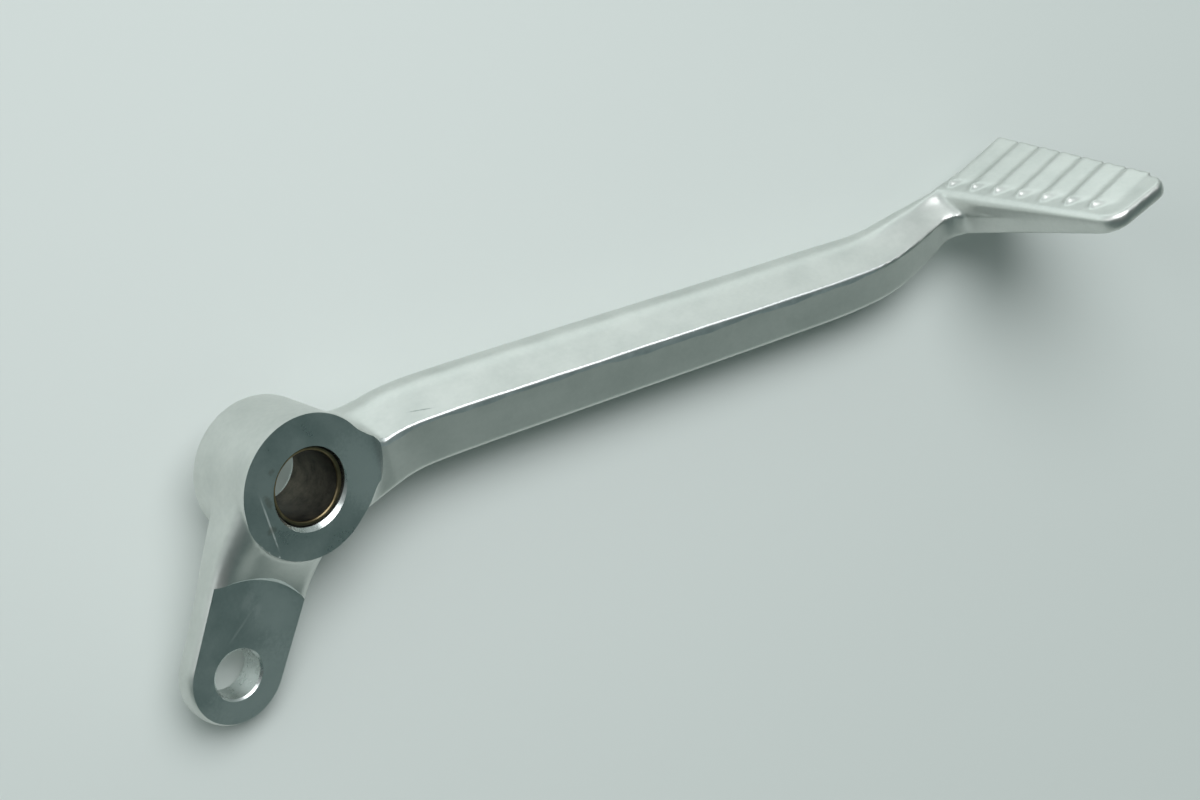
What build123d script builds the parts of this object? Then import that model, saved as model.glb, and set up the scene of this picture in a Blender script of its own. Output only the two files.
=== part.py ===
from build123d import *
import os
from math import asin, atan2, cos, hypot, radians, sin, tan

# Rear brake pedal of a motorbike, in millimetres.
# The origin is the centre of the pivot bore. +X points forward to the toe pad, +Y inboard to the
# machine, +Z up, with the tread of the pad level.

# Pivot boss and its bush
boss_diameter = 25.2
boss_length = 17.0
boss_back_round = 1.6
bush_outside_diameter = 14.0
bush_bore_diameter = 12.0
bush_length = 14.0
bush_set_in = 0.75
bush_outer_chamfer = 0.4
bush_inner_chamfer = 0.25
bore_mouth_chamfer = 0.75
boss_spotface_margin = 1.6

# Lower arm, which pushes the master cylinder
eye_back = 25.2
eye_drop = 21.75
eye_hole_diameter = 8.6
eye_end_radius = 9.2
eye_step_below_boss = 2.3
eye_thickness = 6.7
eye_spotface_depth = 1.2
eye_spotface_radius = 16.5
eye_upper_inset = 0.7
eye_lower_inset = 4.1
eye_edge_round = 1.4
eye_root_round = 2.5

# Long arm, followed along its sharp outboard edge
edge_proud_of_boss = 1.0
edge_below_axis = 1.2
arm_root_straight = 6.7
arm_neck_straight = 18.9
arm_root_softness = 4.0
arm_neck_softness = 6.6
arm_swing = 27.9
arm_drop = 24.1
arm_root_width = 14.6
arm_waist_width = 13.6
arm_neck_width = 6.8
arm_neck_taper = 33.2
arm_belly_inset = 1.5
arm_waist_depth = 8.1
arm_neck_depth = 5.0
arm_run_crest = 3.9
arm_neck_crest = 3.7
arm_run_crest_inset = 4.3
arm_neck_crest_inset = 2.2
arm_run_back_height = 1.9
arm_neck_back_height = 2.4
arm_back_lean = 0.20
arm_side_draft = 0.17
arm_run_crown_round = 7.5
arm_neck_crown_round = 1.8
arm_back_round = 1.2
arm_belly_round = 1.5
flash_land_height = 0.7
flash_land_proud = 0.3
flash_edge_round = 0.35
root_flare_start = 6.0
root_flare_length = 10.0
root_flare_rise = 2.6
root_flare_tightening = 3.0
root_lip_start = 2.6
root_lip_length = 3.6
root_lip_rise = 4.6
neck_flare_start = 4.6
neck_flare_length = 6.8
neck_flare_reach = 5.4
neck_flare_drop = 1.0

# Toe pad
pivot_to_pad = 131.2
pad_inner_overlap = 6.3
pad_heel_span = 42.9
pad_toe_span = 44.7
pad_inner_length = 21.0
pad_outer_length = 15.0
pad_inner_skew = 3.6
tread_above_edge = 3.3
pad_inner_thickness = 9.9
pad_outer_thickness = 2.9
pad_parting_inner_drop = 4.2
pad_parting_outer_drop = 1.5
pad_side_draft_angle = 6.0
pad_toe_corner = 3.2
pad_heel_corner = 4.5
pad_inner_corner = 1.6
pad_root_corner = 1.5
pad_rim_round = 0.8

# Tread ribs
rib_count = 7
rib_pitch = 5.38
rib_first_inset = 4.4
rib_width = 2.6
rib_height = 0.55
rib_border = 3.0
rib_end_slope_angle = 38.0
rib_edge_margin = 0.5

# Values that follow from the sizes above
boss_half = boss_length / 2
boss_radius = boss_diameter / 2
bore_radius = bush_outside_diameter / 2
eye_centre = (-eye_back, -eye_drop)
eye_front = boss_half - eye_step_below_boss
edge_outboard = boss_half + edge_proud_of_boss
arm_root_bend = boss_radius + arm_root_straight
arm_neck_bend = pivot_to_pad - arm_neck_straight
arm_neck_start = pivot_to_pad - arm_neck_taper
arm_root_depth = boss_radius - edge_below_axis - arm_belly_inset
pad_inner = edge_outboard + arm_swing - pad_inner_overlap
tread_drop = edge_below_axis + arm_drop - tread_above_edge
overcut = 6.0
run_sections = 5


def side_plane(outboard):
    """Plane across the pivot axis, this far outboard, with its normal outboard."""
    return Plane.XZ.offset(outboard)


def disc(radius, outboard, length, at=(0, 0)):
    """Round bar along the pivot axis, from a plane this far outboard and on outboard."""
    return extrude(side_plane(outboard) * Pos(*at) * Circle(radius), length)


def rims(shape, radius):
    """Edges of the shape that are circles of this radius."""
    circles = shape.edges().filter_by(GeomType.CIRCLE)
    return circles.filter_by(lambda edge: abs(edge.radius - radius) < 0.001)


def soft_ramp(x, start, softness):
    """Zero before start and x - start after it, with a soft corner."""
    return (x - start + hypot(x - start, softness)) / 2


def between_bends(x):
    """Run of the arm's oblique stretch up to x, from zero to one."""
    run = soft_ramp(x, arm_root_bend, arm_root_softness)
    run -= soft_ramp(x, arm_neck_bend, arm_neck_softness)
    return run / (arm_neck_bend - arm_root_bend)


def arm_edge(x):
    """Point of the arm's outboard edge at x."""
    share = between_bends(x)
    return Vector(x, -edge_outboard - arm_swing * share, -edge_below_axis - arm_drop * share)


def flare(distance, length):
    """Smooth growth from zero to one over the length."""
    share = min(max(distance / length, 0.0), 1.0)
    return (1 - cos(radians(180 * share))) / 2


def arm_section(x):
    """Section of the long arm across its run at x."""
    step = 0.5
    heading = (arm_edge(x + step) - arm_edge(x - step)).normalized()
    inboard = Vector(0, 0, 1).cross(heading).normalized()
    frame = Plane(origin=arm_edge(x), x_dir=inboard, z_dir=heading)
    share = between_bends(x)
    narrowing = (max(x - arm_neck_start, 0.0) / (pivot_to_pad - arm_neck_start)) ** 2
    near_root = flare(boss_radius + root_flare_start - x, root_flare_length)
    rise = root_flare_rise * near_root
    meeting = flare(x - pivot_to_pad + neck_flare_start, neck_flare_length)
    spread = neck_flare_reach * meeting
    edge = root_lip_rise * flare(boss_radius + root_lip_start - x, root_lip_length)
    edge -= neck_flare_drop * meeting
    width = arm_root_width + (arm_waist_width - arm_root_width) * share
    width += (arm_neck_width - arm_waist_width) * narrowing
    depth = arm_root_depth + (arm_waist_depth - arm_root_depth) * share
    depth += (arm_neck_depth - arm_waist_depth) * narrowing
    crest = arm_run_crest + (arm_neck_crest - arm_run_crest) * narrowing + rise
    crest_inset = arm_run_crest_inset + (arm_neck_crest_inset - arm_run_crest_inset) * narrowing
    back = arm_run_back_height + (arm_neck_back_height - arm_run_back_height) * narrowing + rise
    crown = arm_run_crown_round - root_flare_tightening * near_root
    crown += (arm_neck_crown_round - arm_run_crown_round) * min(narrowing, 1.0)
    inset = arm_side_draft * depth
    outline = Polygon(
        (-spread, edge),
        (-spread, edge - flash_land_height),
        (flash_land_proud - spread, edge - flash_land_height),
        (inset - spread, -depth),
        (width - inset, -depth),
        (width - flash_land_proud, -flash_land_height),
        (width, -flash_land_height),
        (width, 0),
        (width - arm_back_lean * back, back),
        (width - crest_inset, crest),
        align=None,
    )
    for x, y, radius in (
        (width - crest_inset, crest, crown),
        (width - arm_back_lean * back, back, arm_back_round),
        (inset - spread, -depth, arm_belly_round),
        (width - inset, -depth, arm_belly_round),
        (-spread, edge, flash_edge_round),
    ):
        outline = fillet(outline.vertices().sort_by_distance((x, y))[0], radius)
    return frame * outline


def tangent_points(radius_a, b, radius_b, side):
    """Points where a line beside the circle at the origin and the circle at b touches both."""
    turn = atan2(b[1], b[0]) + side * (radians(90) + asin((radius_b - radius_a) / hypot(b[0], b[1])))
    away = (cos(turn), sin(turn))
    start = (radius_a * away[0], radius_a * away[1])
    end = (b[0] + radius_b * away[0], b[1] + radius_b * away[1])
    return start, end


def lower_arm():
    """Flat lower arm with a round end about the eye."""
    upper_reach = boss_radius - eye_upper_inset
    lower_reach = boss_radius - eye_lower_inset
    upper_start, upper_end = tangent_points(upper_reach, eye_centre, eye_end_radius, -1)
    lower_start, lower_end = tangent_points(lower_reach, eye_centre, eye_end_radius, 1)
    web = Polygon((0, 0), upper_start, upper_end, eye_centre, lower_end, lower_start, align=None)
    outline = web + Pos(*eye_centre) * Circle(eye_end_radius)
    plate = extrude(side_plane(eye_front - eye_thickness) * outline, eye_thickness)
    by_side = plate.faces().sort_by(Axis.Y)
    return fillet(by_side[0].edges() + by_side[-1].edges(), eye_edge_round)


def pad_outline():
    """Outline of the toe pad seen from above, with its inner end on the X axis."""
    corners = (
        (pivot_to_pad, 0, pad_root_corner),
        (pivot_to_pad, -pad_heel_span, pad_heel_corner),
        (pivot_to_pad + pad_outer_length, -pad_toe_span, pad_toe_corner),
        (pivot_to_pad + pad_inner_length, -pad_inner_skew, pad_inner_corner),
    )
    outline = Polygon(*[(x, y) for x, y, radius in corners], align=None)
    for x, y, radius in corners:
        outline = fillet(outline.vertices().sort_by_distance((x, y))[0], radius)
    return outline


def toe_pad():
    """Wedge-shaped pad with drafted sides above and below its parting line."""
    tilt = atan2(pad_parting_inner_drop - pad_parting_outer_drop, pad_toe_span)
    parting = Plane(
        origin=(0, -pad_inner, -tread_drop - pad_parting_inner_drop),
        x_dir=(1, 0, 0),
        z_dir=(0, sin(tilt), cos(tilt)),
    )
    outline = parting * pad_outline()
    drafted = extrude(outline, pad_inner_thickness, taper=pad_side_draft_angle)
    drafted += extrude(outline, -pad_inner_thickness, taper=pad_side_draft_angle)
    taper = (pad_inner_thickness - pad_outer_thickness) / pad_toe_span
    wedge = Plane.YZ * Polygon(
        (overcut - pad_inner, -tread_drop),
        (-overcut - pad_inner - pad_toe_span, -tread_drop),
        (-overcut - pad_inner - pad_toe_span, taper * overcut - tread_drop - pad_outer_thickness),
        (overcut - pad_inner, -taper * overcut - tread_drop - pad_inner_thickness),
        align=None,
    )
    pad = drafted & extrude(wedge, pivot_to_pad + 2 * pad_inner_length)
    pad = fillet(pad.faces().sort_by(Axis.Z)[-1].edges(), pad_rim_round)
    underside = pad.faces().filter_by(GeomType.PLANE).sort_by(lambda face: face.normal_at().Z)[0]
    return fillet(underside.edges(), pad_rim_round)


def tread_ribs():
    """Rounded ribs along X, with sloped rear ends, that run out at the toe edge."""
    radius = ((rib_width / 2) ** 2 + rib_height ** 2) / (2 * rib_height)
    crest = rib_height - tread_drop
    root = -tread_drop - 1.5 * pad_rim_round
    start = pivot_to_pad + rib_border
    far = pivot_to_pad + 2 * pad_inner_length
    bars = Part()
    for index in range(rib_count):
        middle = -pad_inner - rib_first_inset - rib_pitch * index
        bars += extrude(Plane.YZ * Pos(middle, crest - radius) * Circle(radius), far)
    slope = (crest - root) / tan(radians(rib_end_slope_angle))
    back = start - slope * (-tread_drop - root) / (crest - root)
    band = Polygon((back, root), (far, root), (far, crest), (back + slope, crest), align=None)
    plan = Pos(0, -pad_inner, root) * offset(pad_outline(), -rib_edge_margin)
    return bars & extrude(side_plane(pad_inner) * band, pad_toe_span) & extrude(plan, crest - root)


def long_arm():
    """Arm from inside the boss to inside the pad, through sections that are closer at both ends."""
    past_boss = [-9, -6.5, -4.5, -3, -2, -1.2, -0.5, 0.1, 0.7, 1.3, 1.9, 2.6, 3.5, 4.7, 6.3, 8.5, 11.5, 15.5]
    past_boss += [20.5, 27]
    before_pad = [46, 38, 31, 25, 20, 16, 12.5, 9.6, 7.2, 5.2, 3.6, 2.3, 1.2, 0.2, -0.9, -2.2]
    run_start = boss_radius + past_boss[-1]
    run_step = (pivot_to_pad - before_pad[0] - run_start) / run_sections
    stations = [boss_radius + gap for gap in past_boss]
    stations += [run_start + run_step * index for index in range(1, run_sections)]
    stations += [pivot_to_pad - gap for gap in before_pad]
    return loft([arm_section(x) for x in stations])


# Forging
blank = disc(boss_radius, -boss_half, boss_length + overcut)
blank = fillet(blank.edges().sort_by(Axis.Y)[-1], boss_back_round)
plate = lower_arm()
lever = blank + plate
lever = fillet(new_edges(blank, plate, combined=lever), eye_root_round)
lever += long_arm()
lever += toe_pad()
lever += tread_ribs()

# Machined faces and holes
lever -= disc(boss_radius + boss_spotface_margin, boss_half, 2 * overcut)
lever -= disc(eye_spotface_radius, eye_front - eye_spotface_depth, overcut, eye_centre)
lever -= disc(bore_radius, -boss_half, boss_length)
lever -= disc(eye_hole_diameter / 2, eye_front - eye_thickness, eye_thickness, eye_centre)
lever = chamfer(rims(lever, bore_radius), bore_mouth_chamfer)

# Bush
bush_inboard_end = boss_half - bush_set_in - bush_length
bush = disc(bore_radius, bush_inboard_end, bush_length)
bush = chamfer(rims(bush, bore_radius), bush_outer_chamfer)
bush -= disc(bush_bore_diameter / 2, bush_inboard_end, bush_length)
bush = chamfer(rims(bush, bush_bore_diameter / 2), bush_inner_chamfer)

os.makedirs("parts", exist_ok=True)
export_step(lever, "parts/pedal_lever.step")
export_step(bush, "parts/pivot_bush.step")
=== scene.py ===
"""Rear brake pedal of a motorbike: a satin aluminium forging with a bush pressed into its pivot boss."""
import logging
import math
from dataclasses import dataclass, field
from enum import Enum

import bpy
import numpy as np
from bpy.types import Material, Mesh, Node, NodeSocket, NodeTree, Object
from mathutils import Matrix, Vector
from numpy import ndarray


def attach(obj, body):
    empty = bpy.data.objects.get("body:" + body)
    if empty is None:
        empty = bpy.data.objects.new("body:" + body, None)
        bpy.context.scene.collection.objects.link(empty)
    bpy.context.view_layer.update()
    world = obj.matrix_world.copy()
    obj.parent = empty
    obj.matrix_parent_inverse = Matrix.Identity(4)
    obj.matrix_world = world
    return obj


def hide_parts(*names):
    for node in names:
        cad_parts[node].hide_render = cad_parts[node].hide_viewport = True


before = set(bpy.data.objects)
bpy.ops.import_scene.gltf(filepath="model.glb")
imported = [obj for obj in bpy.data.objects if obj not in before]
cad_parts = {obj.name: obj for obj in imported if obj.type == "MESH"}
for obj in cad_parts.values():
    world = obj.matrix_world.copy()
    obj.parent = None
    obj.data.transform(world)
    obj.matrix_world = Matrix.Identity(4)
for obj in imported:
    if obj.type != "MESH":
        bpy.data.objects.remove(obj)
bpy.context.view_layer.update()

LOG = logging.getLogger("brake_pedal")
MM = 0.001
# Millimetres that a cutter runs past the skin
OVERRUN = 3.0
# Scale of the wave texture for rings one unit apart
WAVE_SCALE = 0.05
Pair = tuple[float, float]
Triple = tuple[float, float, float]


class Zone(Enum):
    """Surface zones of the lever, in the order of its material slots."""

    FORGED = 0
    BOSS_FACE = 1
    EYE_FACE = 2
    BORED = 3
    TRIMMED = 4
    # Facets of the arm's rounded edge, whose paler tint adds a painted highlight
    EDGE_HIGHLIGHT = 5


# Shader helpers


def linear(hex_colour: str) -> tuple[float, float, float, float]:
    """Turns an sRGB hex colour into linear RGBA.

    Args:
        hex_colour: six hex digits.

    Returns:
        Linear red, green and blue from 0 to 1, and an alpha of 1.
    """
    channels = [int(hex_colour[i:i + 2], 16) / 255 for i in (0, 2, 4)]
    red, green, blue = (c / 12.92 if c <= 0.04045 else ((c + 0.055) / 1.055) ** 2.4 for c in channels)
    return red, green, blue, 1.0


def add_node(tree: NodeTree, kind: str, settings: dict | None = None, links: dict | None = None) -> Node:
    """Adds a node, sets its properties and input values, and links its inputs.

    Args:
        tree: node tree that receives the node.
        kind: Blender's node type name.
        settings: values by property name or input name or index.
        links: output sockets by input name or index.

    Returns:
        The new node.
    """
    node = tree.nodes.new(kind)
    for key, value in (settings or {}).items():
        if isinstance(key, str) and hasattr(node, key):
            setattr(node, key, value)
        else:
            node.inputs[key].default_value = value
    for key, socket in (links or {}).items():
        tree.links.new(socket, node.inputs[key])
    return node


def fresh_tree(owner: Material | bpy.types.World) -> NodeTree:
    """Empty node tree of a material or a world."""
    owner.use_nodes = True
    owner.node_tree.nodes.clear()
    return owner.node_tree


def reckon(tree: NodeTree, operation: str, *terms: float | NodeSocket) -> NodeSocket:
    """Result of a math node whose terms are numbers or sockets."""
    links = {i: term for i, term in enumerate(terms) if isinstance(term, NodeSocket)}
    values = {i: term for i, term in enumerate(terms) if i not in links}
    return add_node(tree, "ShaderNodeMath", {"operation": operation, **values}, links).outputs["Value"]


def ramp(tree: NodeTree, value: NodeSocket, ends: Pair, to: Pair = (0.0, 1.0),
         kind: str = "SMOOTHSTEP") -> NodeSocket:
    """Maps the ends of one range to the ends of another, along a smooth step unless kind is LINEAR."""
    settings = {"interpolation_type": kind, "From Min": ends[0], "From Max": ends[1], "To Min": to[0],
                "To Max": to[1]}
    return add_node(tree, "ShaderNodeMapRange", settings, {"Value": value}).outputs["Result"]


def mix(tree: NodeTree, kind: str, factor: NodeSocket, below: NodeSocket, above: float | tuple) -> NodeSocket:
    """Lays a fixed value over a socket by the factor; kind is FLOAT or RGBA."""
    settings, links = {"data_type": kind, "B": above}, {"Factor": factor, "A": below}
    return add_node(tree, "ShaderNodeMix", settings, links).outputs["Result"]


def colour_ramp(tree: NodeTree, value: NodeSocket, stops: tuple[tuple[float, str], ...]) -> NodeSocket:
    """Colour that runs through the stops with a value from 0 to 1.

    Args:
        tree: node tree.
        value: socket that the colour follows.
        stops: places and hex colours, in order.

    Returns:
        The colour.
    """
    node = add_node(tree, "ShaderNodeValToRGB", {}, {"Fac": value})
    marks = node.color_ramp.elements
    for place, _ in stops[1:-1]:
        marks.new(place)
    for mark, (place, tint) in zip(marks, stops):
        mark.position = place
        mark.color = linear(tint)
    return node.outputs["Color"]


# Mesh helpers


def smooth_step(value: ndarray, low: float, high: float) -> ndarray:
    """Rises from 0 at low to 1 at high along 3t^2 - 2t^3."""
    share = np.clip((value - low) / (high - low), 0.0, 1.0)
    return share * share * (3 - 2 * share)


def cosine_rise(distance: ndarray, length: float) -> ndarray:
    """Half a cosine wave that rises from 0 to 1 over the length."""
    return (1 - np.cos(np.pi * np.clip(distance / length, 0.0, 1.0))) / 2


def between(first: float | ndarray, last: float | ndarray, share: ndarray) -> ndarray:
    """Straight line from first at a share of 0 to last at a share of 1."""
    return first + (last - first) * share


def quarter_turn(points: int) -> tuple[ndarray, ndarray]:
    """Sagittas 1 - sin a and 1 - cos a of a unit round, while a runs from 0 to 90 degrees."""
    angle = np.linspace(0, np.pi / 2, points)
    return 1 - np.sin(angle), 1 - np.cos(angle)


def unit(vectors: ndarray) -> ndarray:
    """Vectors scaled to a length of 1."""
    return vectors / np.linalg.norm(vectors, axis=-1, keepdims=True)


def inward_normals(line: ndarray) -> ndarray:
    """Unit normals of a closed plane loop: its tangents turned by 90 degrees, to the side of its middle."""
    tangent = unit(np.roll(line, -1, 0) - np.roll(line, 1, 0))
    inward = np.stack([-tangent[:, 1], tangent[:, 0]], 1)
    return inward * np.sign((inward * (line.mean(0) - line)).sum(1).mean())


def read(items: bpy.types.bpy_prop_collection, name: str, width: int = 1, kind: type = np.int32) -> ndarray:
    """Values of a property of a mesh's items, with a row for each item where the width is over 1."""
    flat = np.empty(len(items) * width, kind)
    items.foreach_get(name, flat)
    return flat.reshape(-1, width) if width > 1 else flat


def positions(mesh: Mesh) -> ndarray:
    """Vertex positions of a mesh as an array of shape (vertices, 3)."""
    return read(mesh.vertices, "co", 3, np.float32).astype(float)


def link_new(name: str, data: bpy.types.ID) -> Object:
    """Makes an object of the data and links it to the scene."""
    made = bpy.data.objects.new(name, data)
    bpy.context.scene.collection.objects.link(made)
    return made


def drop(*objects: Object) -> None:
    """Removes objects with their meshes."""
    for item in objects:
        mesh = item.data
        bpy.data.objects.remove(item)
        bpy.data.meshes.remove(mesh)


def evaluated(source: Object) -> Mesh:
    """Mesh of an object with its modifiers applied."""
    graph = bpy.context.evaluated_depsgraph_get()
    return bpy.data.meshes.new_from_object(source.evaluated_get(graph))


def ring_quads(index: ndarray) -> ndarray:
    """Quads between the neighbouring rings of a grid of vertex numbers."""
    a, b = index[:-1], index[1:]
    return np.stack([a, b, np.roll(b, -1, 1), np.roll(a, -1, 1)], axis=-1).reshape(-1, 4)


def turn_outwards(mesh: Mesh) -> None:
    """Flips the faces when the signed volume, the sum of a.(b x c)/6 over its triangles, is negative."""
    mesh.calc_loop_triangles()
    place = positions(mesh)[read(mesh.loop_triangles, "vertices", 3)]
    if np.einsum("ij,ij->i", place[:, 0], np.cross(place[:, 1], place[:, 2])).sum() < 0:
        mesh.flip_normals()


def grid_mesh(name: str, points: ndarray, capped: bool = True,
              zones: tuple[Zone, ...] = (Zone.FORGED,)) -> Object:
    """Makes a closed mesh from rings of points.

    The first index runs along the rings and the second round each ring, which closes on itself.

    Args:
        name: name of the object.
        points: array of shape (rings, round, 3), in millimetres.
        capped: closes the first and last ring with a face; otherwise the last ring joins the first.
        zones: material slot of the faces, one for all or one for each side of the ring.

    Returns:
        A new object, linked to the scene.
    """
    rings, around = points.shape[:2]
    index = np.arange(rings * around).reshape(rings, around)
    if not capped:
        index = np.vstack([index, index[:1]])
    quads = ring_quads(index)
    faces = quads.tolist()
    if capped:
        faces += [index[0].tolist(), index[-1][::-1].tolist()]
    mesh = bpy.data.meshes.new(name)
    mesh.from_pydata(points.reshape(-1, 3).tolist(), [], faces)
    sides = np.tile(np.resize([zone.value for zone in zones], around), len(index) - 1)
    slots = np.concatenate([sides, np.full(len(faces) - len(quads), zones[-1].value)])
    mesh.polygons.foreach_set("material_index", slots.astype(np.int32))
    mesh.update()
    made = link_new(name, mesh)
    turn_outwards(mesh)
    return made


def revolve(profile: ndarray, segments: int, centre: Pair = (0.0, 0.0)) -> ndarray:
    """Turns a profile about an axis along Y.

    Each profile point (radius, y) becomes the ring (x + radius cos a, y, z + radius sin a).

    Args:
        profile: array of (radius, y) in millimetres.
        segments: points round the axis.
        centre: x and z of the axis.

    Returns:
        Array of shape (profile points, segments, 3).
    """
    angle = np.linspace(0, 2 * np.pi, segments, endpoint=False)
    radius, height = profile[:, :1], profile[:, 1:]
    return np.stack([centre[0] + radius * np.cos(angle), height + 0 * angle,
                     centre[1] + radius * np.sin(angle)], axis=-1)


def rounded_outline(corners: ndarray, radii: ndarray, steps: int) -> ndarray:
    """Rounds the corners of polygons with circle arcs.

    At each corner the arc touches both sides. Its points turn from one touching point to the other about
    the arc's centre, by spherical interpolation of the two spokes.

    Args:
        corners: array of shape (polygons, corners, 2).
        radii: array of shape (polygons, corners), in millimetres.
        steps: points on each arc.

    Returns:
        Array of shape (polygons, corners * steps, 2).
    """
    to_last = unit(np.roll(corners, 1, 1) - corners)
    to_next = unit(np.roll(corners, -1, 1) - corners)
    half = np.arccos(np.clip((to_last * to_next).sum(-1), -0.9999, 0.9999)) / 2
    reach = (radii / np.tan(half))[..., None]
    centre = corners + unit(to_last + to_next) * (radii / np.sin(half))[..., None]
    first = (corners + to_last * reach - centre)[:, :, None, :]
    last = (corners + to_next * reach - centre)[:, :, None, :]
    turn = (np.pi - 2 * half)[:, :, None, None]
    share = np.linspace(0, 1, steps)[None, None, :, None]
    arc = (np.sin((1 - share) * turn) * first + np.sin(share * turn) * last) / np.sin(turn)
    return (centre[:, :, None, :] + arc).reshape(corners.shape[0], -1, 2)


def paint(mesh: Mesh, *materials: Material) -> None:
    """Fills the material slots in order and keeps the slot of each face."""
    slots = read(mesh.polygons, "material_index")
    mesh.materials.clear()
    for material in materials:
        mesh.materials.append(material)
    mesh.polygons.foreach_set("material_index", slots)


def part_zones(mesh: Mesh, soft: Zone) -> None:
    """Marks the edges between two material slots as sharp, except round the soft zone.

    Args:
        mesh: mesh with a slot number on each face.
        soft: zone that shades smoothly into its neighbours.
    """
    corner_edge = read(mesh.loops, "edge_index")
    slots = np.repeat(read(mesh.polygons, "material_index"), read(mesh.polygons, "loop_total"))
    least, most = np.full(len(mesh.edges), len(Zone)), np.full(len(mesh.edges), -1)
    np.minimum.at(least, corner_edge, slots)
    np.maximum.at(most, corner_edge, slots)
    sharp = read(mesh.edges, "use_edge_sharp", kind=bool)
    sharp |= (least < most) & (least != soft.value) & (most != soft.value)
    mesh.edges.foreach_set("use_edge_sharp", sharp)


def finish_shading(mesh: Mesh, sharp_angle: float) -> None:
    """Brings a mesh to metres and shades it smoothly, with sharp edges past the angle in degrees."""
    mesh.transform(Matrix.Scale(MM, 4))
    mesh.shade_smooth()
    mesh.set_sharp_from_angle(angle=math.radians(sharp_angle))


# Finishes


@dataclass(frozen=True)
class Mark:
    """Scratch, stain or painted shade of a crease: an ellipsoid with another tint and roughness.

    Lengths are in millimetres and turns in degrees.
    """

    centre: Triple
    half_size: Triple
    turn: Triple
    tint: str
    rough: float
    strength: float
    fray: float = 0.9
    rim: Pair = (1.45, 0.75)

    def over(self, tree: NodeTree, coords: NodeSocket, grain: NodeSocket, tint: NodeSocket,
             gloss: NodeSocket) -> tuple[NodeSocket, NodeSocket]:
        """Lays the mark over a tint and a roughness, with a rim that the grain frays.

        Args:
            tree: node tree of the material.
            coords: object coordinates.
            grain: noise from 0 to 1.
            tint: colour below the mark.
            gloss: roughness below the mark.

        Returns:
            The colour and the roughness with the mark.
        """
        inside = add_node(tree, "ShaderNodeMapping", {
            "vector_type": "TEXTURE", "Location": [value * MM for value in self.centre],
            "Rotation": [math.radians(value) for value in self.turn],
            "Scale": [value * MM for value in self.half_size]}, {"Vector": coords})
        far = add_node(tree, "ShaderNodeVectorMath", {"operation": "LENGTH"}, {0: inside.outputs["Vector"]})
        frayed = reckon(tree, "MULTIPLY_ADD", grain, self.fray, far.outputs["Value"])
        mask = ramp(tree, frayed, self.rim, (0.0, self.strength))
        return (mix(tree, "RGBA", mask, tint, linear(self.tint)),
                mix(tree, "FLOAT", mask, gloss, self.rough))


@dataclass(frozen=True)
class MetalFinish:
    """Bare metal surface: a pale and a dark tint, a roughness range, and patterns sized in millimetres."""

    name: str
    pale: str
    dark: str
    smooth: float
    rough: float
    grain_mm: float
    patch_mm: float
    bump_mm: float
    ring_mm: float = 0.0
    centre: Pair = (0.0, 0.0)
    marks: tuple[Mark, ...] = ()
    grain_share: float = 0.35
    ring_share: float = 0.5
    tint_range: Pair = (0.42, 0.86)
    gloss_range: Pair = (0.4, 0.9)

    def noise(self, tree: NodeTree, coords: NodeSocket, size_mm: float, detail: float) -> NodeSocket:
        """Noise from 0 to 1 with a pattern of the size."""
        settings = {"Scale": 1 / (size_mm * MM), "Detail": detail}
        return add_node(tree, "ShaderNodeTexNoise", settings, {"Vector": coords}).outputs["Fac"]

    def material(self) -> Material:
        """Builds the material.

        Two noises, one of the grain and one of the patches, mix the tints and set the roughness. A third
        pattern, rings about the machining axis, is added where the surface was turned.

        Returns:
            The material.
        """
        made = bpy.data.materials.new(self.name)
        tree = fresh_tree(made)
        coords = add_node(tree, "ShaderNodeTexCoord").outputs["Object"]
        grain = self.noise(tree, coords, self.grain_mm, 3.0)
        patch = self.noise(tree, coords, self.patch_mm, 4.0)
        height = grain
        if self.ring_mm:
            axis = (-self.centre[0] * MM, 0.0, -self.centre[1] * MM)
            shift = add_node(tree, "ShaderNodeMapping", {"Location": axis}, {"Vector": coords})
            rings = add_node(tree, "ShaderNodeTexWave", {
                "wave_type": "RINGS", "rings_direction": "Y", "Scale": WAVE_SCALE / (self.ring_mm * MM),
                "Distortion": 1.5, "Detail": 2.0, "Detail Scale": 1.0}, {"Vector": shift.outputs["Vector"]})
            height = reckon(tree, "MULTIPLY_ADD", rings.outputs["Fac"], self.ring_share, height)
        blend = reckon(tree, "MULTIPLY_ADD", grain, self.grain_share, patch)
        colour = colour_ramp(tree, blend, tuple(zip(self.tint_range, (self.dark, self.pale))))
        dull = ramp(tree, blend, self.gloss_range, (self.smooth, self.rough), "LINEAR")
        for mark in self.marks:
            colour, dull = mark.over(tree, coords, grain, colour, dull)
        bump = add_node(tree, "ShaderNodeBump", {"Strength": 1.0, "Distance": self.bump_mm * MM},
                        {"Height": height})
        shader = add_node(tree, "ShaderNodeBsdfPrincipled", {"Metallic": 1.0}, {
            "Base Color": colour, "Roughness": dull, "Normal": bump.outputs["Normal"]})
        add_node(tree, "ShaderNodeOutputMaterial", {}, {"Surface": shader.outputs["BSDF"]})
        return made


# Shapes of the lever


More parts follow.
